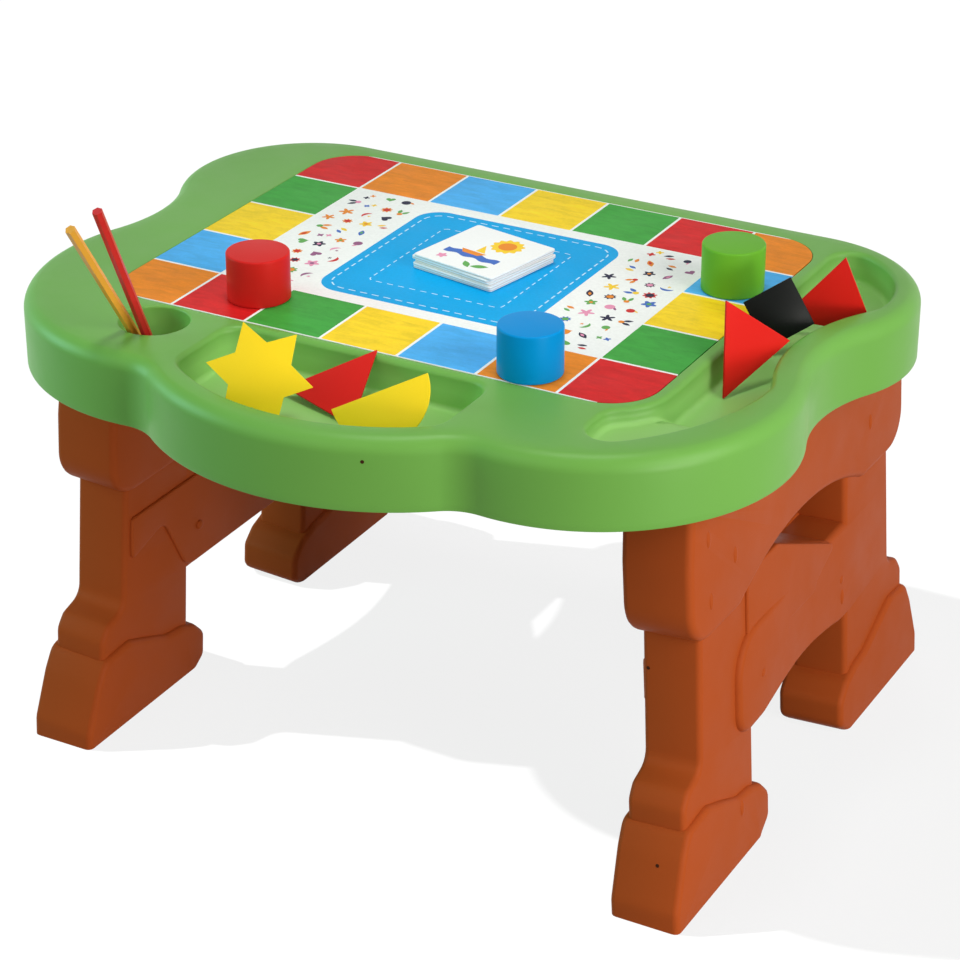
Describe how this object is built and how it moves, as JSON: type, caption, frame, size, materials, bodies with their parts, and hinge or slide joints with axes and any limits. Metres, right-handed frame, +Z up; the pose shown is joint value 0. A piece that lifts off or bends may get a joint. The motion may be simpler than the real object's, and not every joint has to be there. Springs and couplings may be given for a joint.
{
  "type": "children's activity table",
  "caption": "Low activity table with a moulded top, printed play board, tile trays, a pencil cup, two splayed trestle legs, loose tiles, picture cards, round blocks and pencils.",
  "frame": {"origin": "on the floor, below the middle of the tabletop's length, under the middle of the whole part", "axes": "+Z up, +X along the length towards the side trough, +Y towards the straight back edge"},
  "size_m": [0.6878, 0.61, 0.5339],
  "materials": {
    "green_plastic": "satin moulded plastic",
    "brown_plastic": "satin moulded plastic",
    "printed_board": "printed and clear coated",
    "red_block": "satin",
    "blue_block": "satin",
    "green_block": "satin",
    "yellow_lacquer": "lacquered wood",
    "red_lacquer": "lacquered wood",
    "lead": "matt coloured core",
    "yellow_tile": "glossy",
    "red_tile": "glossy",
    "black_tile": "glossy",
    "card_stock": "printed card"
  },
  "bodies": {
    "tabletop": {"tabletop": "green_plastic"},
    "play_board": {"play_board": "printed_board"},
    "left_leg": {"left_leg": "brown_plastic"},
    "right_leg": {"right_leg": "brown_plastic"},
    "red_cylinder": {"red_cylinder": "red_block"},
    "blue_cylinder": {"blue_cylinder": "blue_block"},
    "green_cylinder": {"green_cylinder": "green_block"},
    "yellow_pencil": {"yellow_pencil": "yellow_lacquer", "yellow_pencil_lead": "lead"},
    "red_pencil": {"red_pencil": "red_lacquer", "red_pencil_lead": "lead"},
    "yellow_star": {"yellow_star": "yellow_tile"},
    "red_triangle_front": {"red_triangle_front": "red_tile"},
    "yellow_half_disc": {"yellow_half_disc": "yellow_tile"},
    "red_triangle_tall": {"red_triangle_tall": "red_tile"},
    "black_square": {"black_square": "black_tile"},
    "red_triangle_back": {"red_triangle_back": "red_tile"},
    "card_1": {"card_1": "card_stock"},
    "card_2": {"card_2": "card_stock"},
    "card_3": {"card_3": "card_stock"},
    "card_4": {"card_4": "card_stock"},
    "card_5": {"card_5": "card_stock"}
  },
  "joints": [
    {"name": "board_lift", "type": "slide", "parent": "tabletop", "child": "play_board", "axis": [0, 0, 1], "range_m": [0, 0.05]},
    {"name": "left_leg_pull", "type": "slide", "parent": "tabletop", "child": "left_leg", "axis": [-0.0598, 0, -0.9982], "range_m": [0, 0.06]},
    {"name": "right_leg_pull", "type": "slide", "parent": "tabletop", "child": "right_leg", "axis": [0.0598, 0, -0.9982], "range_m": [0, 0.06]},
    {"name": "red_cylinder_lift", "type": "slide", "parent": "play_board", "child": "red_cylinder", "axis": [0, 0, 1], "range_m": [0, 0.1]},
    {"name": "blue_cylinder_lift", "type": "slide", "parent": "play_board", "child": "blue_cylinder", "axis": [0, 0, 1], "range_m": [0, 0.1]},
    {"name": "green_cylinder_lift", "type": "slide", "parent": "play_board", "child": "green_cylinder", "axis": [0, 0, 1], "range_m": [0, 0.1]},
    {"name": "yellow_pencil_draw", "type": "slide", "parent": "tabletop", "child": "yellow_pencil", "axis": [-0.023, -0.5279, 0.849], "range_m": [0, 0.07]},
    {"name": "red_pencil_draw", "type": "slide", "parent": "tabletop", "child": "red_pencil", "axis": [-0.0131, -0.3937, 0.9191], "range_m": [0, 0.07]},
    {"name": "yellow_star_lift", "type": "slide", "parent": "tabletop", "child": "yellow_star", "axis": [0, 0, 1], "range_m": [0, 0.08]},
    {"name": "red_triangle_front_lift", "type": "slide", "parent": "tabletop", "child": "red_triangle_front", "axis": [0, 0, 1], "range_m": [0, 0.08]},
    {"name": "yellow_half_disc_lift", "type": "slide", "parent": "tabletop", "child": "yellow_half_disc", "axis": [0, 0, 1], "range_m": [0, 0.08]},
    {"name": "red_triangle_tall_lift", "type": "slide", "parent": "tabletop", "child": "red_triangle_tall", "axis": [0, 0, 1], "range_m": [0, 0.08]},
    {"name": "black_square_lift", "type": "slide", "parent": "tabletop", "child": "black_square", "axis": [0, 0, 1], "range_m": [0, 0.08]},
    {"name": "red_triangle_back_lift", "type": "slide", "parent": "tabletop", "child": "red_triangle_back", "axis": [0, 0, 1], "range_m": [0, 0.08]},
    {"name": "card_1_lift", "type": "slide", "parent": "play_board", "child": "card_1", "axis": [0, 0, 1], "range_m": [0, 0.04]},
    {"name": "card_2_lift", "type": "slide", "parent": "card_1", "child": "card_2", "axis": [0, 0, 1], "range_m": [0, 0.04]},
    {"name": "card_3_lift", "type": "slide", "parent": "card_2", "child": "card_3", "axis": [0, 0, 1], "range_m": [0, 0.04]},
    {"name": "card_4_lift", "type": "slide", "parent": "card_3", "child": "card_4", "axis": [0, 0, 1], "range_m": [0, 0.04]},
    {"name": "card_5_lift", "type": "slide", "parent": "card_4", "child": "card_5", "axis": [0, 0, 1], "range_m": [0, 0.04]}
  ]
}
